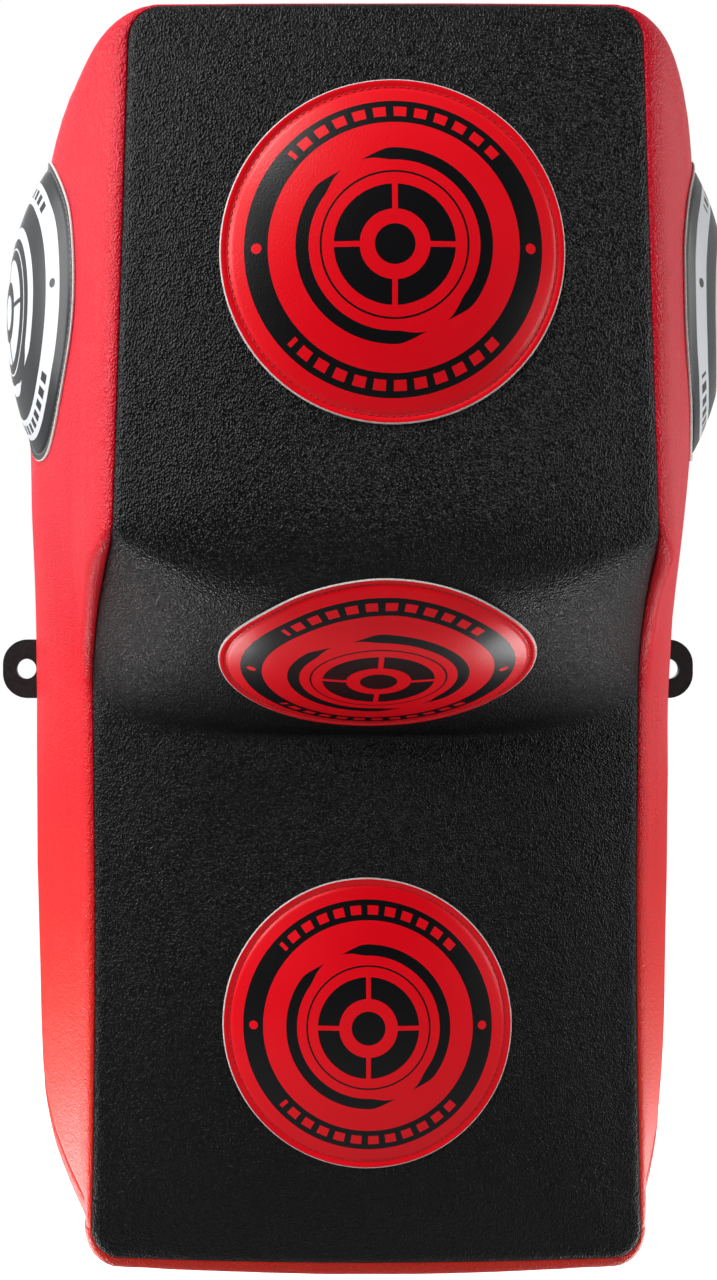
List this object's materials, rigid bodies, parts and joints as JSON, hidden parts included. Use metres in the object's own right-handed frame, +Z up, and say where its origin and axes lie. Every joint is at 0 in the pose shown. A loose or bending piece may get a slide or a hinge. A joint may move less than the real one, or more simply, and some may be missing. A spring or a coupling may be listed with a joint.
{
  "type": "wall-mounted boxing pad",
  "caption": "Tall padded wall target for boxing, with a projecting head, an undercut chin and a flat body, round stitched targets and a steel bar behind it for two wall bolts.",
  "frame": {"origin": "middle of the line between the two wall bolt holes, on the wall plane (the mounting bar's back face)", "axes": "+Z up along the pad's height, +X to the right as a boxer faces the pad, +Y into the wall"},
  "size_m": [0.588, 0.353, 0.801],
  "materials": {
    "black_cover": "satin",
    "black_backing": "matte",
    "red_cover": "satin",
    "red_target": "satin",
    "grey_target": "satin",
    "soft_foam": "matte",
    "firm_foam": "matte",
    "plywood": "matte",
    "black_steel": "satin",
    "black_screws": "satin",
    "zinc_steel": "satin"
  },
  "bodies": {
    "root": {"back_board": "plywood", "back_panel": "black_backing", "bar_screws": "black_screws", "body_foam_block": "firm_foam", "body_impact_layer": "soft_foam", "body_target": "red_target", "body_target_pad": "soft_foam", "bottom_panel": "red_cover", "chin_foam_block": "firm_foam", "chin_target": "red_target", "chin_target_pad": "soft_foam", "front_panel": "black_cover", "head_foam_block": "firm_foam", "head_impact_layer": "soft_foam", "head_target": "red_target", "head_target_pad": "soft_foam", "left_head_target": "grey_target", "left_head_target_pad": "soft_foam", "left_side_panel": "red_cover", "mounting_bar": "black_steel", "rear_foam_slab": "firm_foam", "right_head_target": "grey_target", "right_head_target_pad": "soft_foam", "right_side_panel": "red_cover", "staples": "zinc_steel", "tee_nuts": "zinc_steel", "top_panel": "red_cover"}
  },
  "joints": []
}
